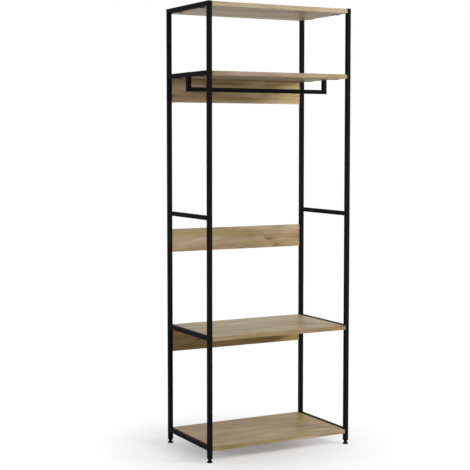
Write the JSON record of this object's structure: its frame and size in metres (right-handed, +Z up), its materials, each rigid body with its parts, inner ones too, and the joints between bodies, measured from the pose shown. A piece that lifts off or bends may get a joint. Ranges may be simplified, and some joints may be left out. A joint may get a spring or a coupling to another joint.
{
  "type": "clothes rack",
  "caption": "Tall open clothes rack: black square-tube side frames with oak-look shelves, back boards, a garment rail under the upper shelf and levelling feet.",
  "frame": {"origin": "on the floor under the middle of the rack", "axes": "+X to the right along the shelves, -Y towards the front, +Z up"},
  "size_m": [0.697, 0.407, 1.9],
  "materials": {
    "black_steel": "matt black powder coat",
    "oak_board": "satin oak-look melamine on chipboard",
    "black_plastic": "moulded, matt",
    "dark_hardware": "blackened steel"
  },
  "bodies": {
    "rack": {"back_board_lower": "oak_board", "back_board_middle": "oak_board", "back_board_upper": "oak_board", "back_screws_lower": "dark_hardware", "back_screws_middle": "dark_hardware", "back_screws_upper": "dark_hardware", "bar_cap_left": "black_plastic", "bar_cap_right": "black_plastic", "drop_plug_left": "black_plastic", "drop_plug_right": "black_plastic", "foot_insert_front_left": "black_plastic", "foot_insert_front_right": "black_plastic", "foot_insert_rear_left": "black_plastic", "foot_insert_rear_right": "black_plastic", "hanger_bolts": "dark_hardware", "hanger_drop_left": "black_steel", "hanger_drop_right": "black_steel", "hanging_bar": "black_steel", "rail_bottom_left": "black_steel", "rail_bottom_right": "black_steel", "rail_lower_left": "black_steel", "rail_lower_right": "black_steel", "rail_middle_left": "black_steel", "rail_middle_right": "black_steel", "rail_top_left": "black_steel", "rail_top_right": "black_steel", "rail_upper_left": "black_steel", "rail_upper_right": "black_steel", "shelf_bottom": "oak_board", "shelf_lower": "oak_board", "shelf_screws_bottom": "dark_hardware", "shelf_screws_lower": "dark_hardware", "shelf_screws_top": "dark_hardware", "shelf_screws_upper": "dark_hardware", "shelf_tabs_bottom": "black_steel", "shelf_tabs_lower": "black_steel", "shelf_tabs_top": "black_steel", "shelf_tabs_upper": "black_steel", "shelf_top": "oak_board", "shelf_upper": "oak_board", "upright_cap_front_left": "black_plastic", "upright_cap_front_right": "black_plastic", "upright_cap_rear_left": "black_plastic", "upright_cap_rear_right": "black_plastic", "upright_front_left": "black_steel", "upright_front_right": "black_steel", "upright_rear_left": "black_steel", "upright_rear_right": "black_steel"},
    "foot_pad_front_left": {"foot_pad_front_left": "black_plastic"},
    "foot_stud_front_left": {"foot_stud_front_left": "dark_hardware"},
    "foot_pad_front_right": {"foot_pad_front_right": "black_plastic"},
    "foot_stud_front_right": {"foot_stud_front_right": "dark_hardware"},
    "foot_pad_rear_left": {"foot_pad_rear_left": "black_plastic"},
    "foot_stud_rear_left": {"foot_stud_rear_left": "dark_hardware"},
    "foot_pad_rear_right": {"foot_pad_rear_right": "black_plastic"},
    "foot_stud_rear_right": {"foot_stud_rear_right": "dark_hardware"}
  },
  "joints": [
    {"name": "foot_height_front_left", "type": "slide", "parent": "rack", "child": "foot_pad_front_left", "axis": [0, 0, 1], "range_m": [-0.015, 0]},
    {"name": "foot_turn_front_left", "type": "hinge", "parent": "foot_pad_front_left", "child": "foot_stud_front_left", "pos_m": [-0.336, -0.191, 0.01], "axis": [0, 0, 1], "range_deg": [-4322, 2]},
    {"name": "foot_height_front_right", "type": "slide", "parent": "rack", "child": "foot_pad_front_right", "axis": [0, 0, 1], "range_m": [-0.015, 0]},
    {"name": "foot_turn_front_right", "type": "hinge", "parent": "foot_pad_front_right", "child": "foot_stud_front_right", "pos_m": [0.336, -0.191, 0.01], "axis": [0, 0, 1], "range_deg": [-4322, 2]},
    {"name": "foot_height_rear_left", "type": "slide", "parent": "rack", "child": "foot_pad_rear_left", "axis": [0, 0, 1], "range_m": [-0.015, 0]},
    {"name": "foot_turn_rear_left", "type": "hinge", "parent": "foot_pad_rear_left", "child": "foot_stud_rear_left", "pos_m": [-0.336, 0.191, 0.01], "axis": [0, 0, 1], "range_deg": [-4322, 2]},
    {"name": "foot_height_rear_right", "type": "slide", "parent": "rack", "child": "foot_pad_rear_right", "axis": [0, 0, 1], "range_m": [-0.015, 0]},
    {"name": "foot_turn_rear_right", "type": "hinge", "parent": "foot_pad_rear_right", "child": "foot_stud_rear_right", "pos_m": [0.336, 0.191, 0.01], "axis": [0, 0, 1], "range_deg": [-4322, 2]}
  ],
  "couplings": [
    {"joint": "foot_turn_front_left", "follows": "foot_height_front_left", "rad_per_m": 5026.5},
    {"joint": "foot_turn_front_right", "follows": "foot_height_front_right", "rad_per_m": 5026.5},
    {"joint": "foot_turn_rear_left", "follows": "foot_height_rear_left", "rad_per_m": 5026.5},
    {"joint": "foot_turn_rear_right", "follows": "foot_height_rear_right", "rad_per_m": 5026.5}
  ]
}
